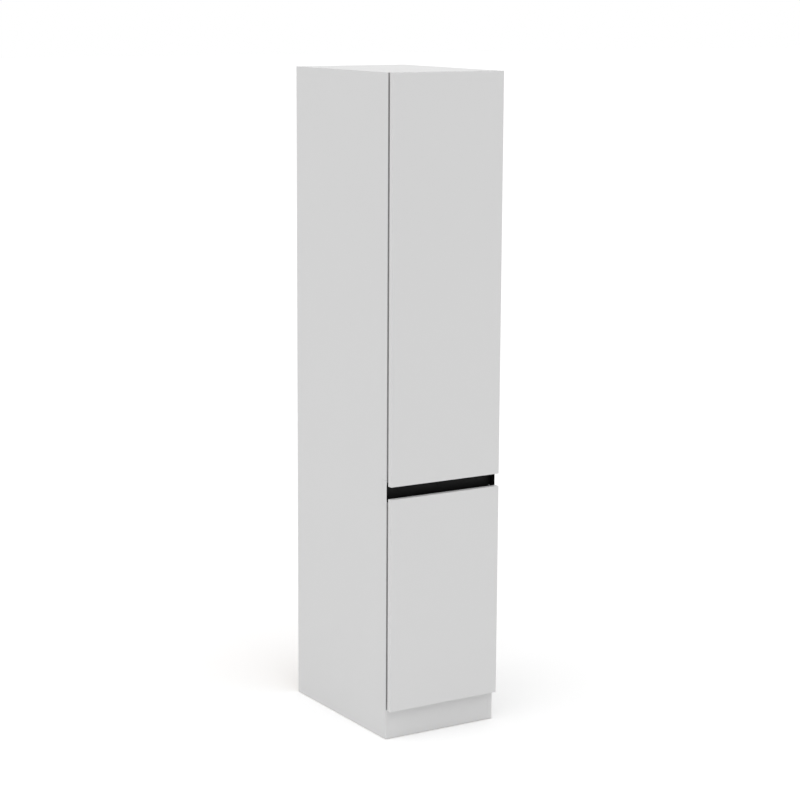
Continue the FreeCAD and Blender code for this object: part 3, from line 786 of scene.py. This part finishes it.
# One screw about its own axis: a domed head whose height falls with the square of the radius, less a cross-shaped
# recess whose depth fades at the arms' edges, then an edge, an underside and a shaft with a wave for its thread
def screwSurface(headRadius, length, values, shape):
    around = np.linspace(0.0, 2.0 * np.pi, shape["around"], endpoint=False)
    out = np.linspace(shape["middle"], 1.0, shape["across"]) * headRadius * shape["dome"]
    radius, angle = np.meshgrid(out, around, indexing="ij")
    x = radius * np.cos(angle)
    y = radius * np.sin(angle)
    dome = values["head"] * (1.0 - shape["domeFall"] * (radius / headRadius) ** 2)
    cross = np.maximum(recessArm(x, y, headRadius, shape), recessArm(y, x, headRadius, shape))
    top = np.stack([x, y, dome - values["recess"] * cross], axis=-1)
    turns = length / shape["pitch"]
    run = np.linspace(0.0, 1.0, max(shape["leastRings"], int(turns * shape["ringsPerTurn"])))
    wave = 1.0 - shape["threadDepth"] * (0.5 + 0.5 * np.cos(2.0 * np.pi * run * turns))
    taper = np.clip((1.0 - run) * length / (shape["tipLength"] * values["shaft"]), shape["tipEnd"], 1.0)
    radii = np.concatenate([headRadius * np.array(shape["rim"]), values["shaft"] * wave * taper])
    heights = np.concatenate([values["head"] * np.array(shape["rimHeight"]), -run * length])
    return np.concatenate([top, revolve(radii, heights, around)], axis=0)


def makeScrews(name, values):
    shapes = []
    for lowest, highest in zip(*solidBoxes(name)):
        middle = (lowest + highest) / 2.0
        drive = np.array(values["drive"] or (math.copysign(1.0, middle[0]), 0.0, 0.0), dtype=float)
        reach = np.abs(drive) @ (highest - lowest)
        headRadius = ((highest - lowest) * (1.0 - np.abs(drive))).max() / 2.0
        seat = middle - drive * (reach / 2.0 - values["head"])
        grid = screwSurface(headRadius, reach - values["head"], values, screwShapeSet)
        shapes.append(turnedGrid(grid, drive, seat))
    piece = manyCopies(name + "Threaded", name, shapes, screwShapeSet["sharpAngle"])
    print("screws:", name, len(shapes), "with", len(piece.data.polygons), "faces")


for name, values in screwSet.items():
    makeScrews(name, values)

bumperDomeSet = {
    "around": 48,
    "up": 14,
    "foot": 0.25,        # height of the straight foot, as a share of the whole
    "upTo": 0.98,        # how much of the quarter turn the dome takes
    "fullness": 0.7,     # power of the cosine: lower is fuller
    "drive": (0, -1, 0),
    "sharpAngle": 60.0,
}


# Bumper: a short straight foot, then a dome whose radius follows a power of the cosine and height the sine of one angle
def bumperSurface(radius, height, values):
    around = np.linspace(0.0, 2.0 * np.pi, values["around"], endpoint=False)
    rise = np.linspace(0.0, np.pi / 2.0 * values["upTo"], values["up"])
    radii = np.concatenate([[radius], radius * np.cos(rise) ** values["fullness"]])
    heights = np.concatenate([[0.0], height * (values["foot"] + (1.0 - values["foot"]) * np.sin(rise))])
    return revolve(radii, heights, around)


def makeBumpers(name, values):
    shapes = []
    for lowest, highest in zip(*solidBoxes(name)):
        size = highest - lowest
        seat = np.array([(lowest[0] + highest[0]) / 2.0, lowest[1], (lowest[2] + highest[2]) / 2.0])
        shapes.append(turnedGrid(bumperSurface(size[0] / 2.0, size[1], values), values["drive"], seat))
    manyCopies(name + "Domed", name, shapes, values["sharpAngle"])
    print("bumpers:", name, len(shapes))


for name in nodesOfFinish["clear_bumper"]:
    makeBumpers(name, bumperDomeSet)

print("pieces done")
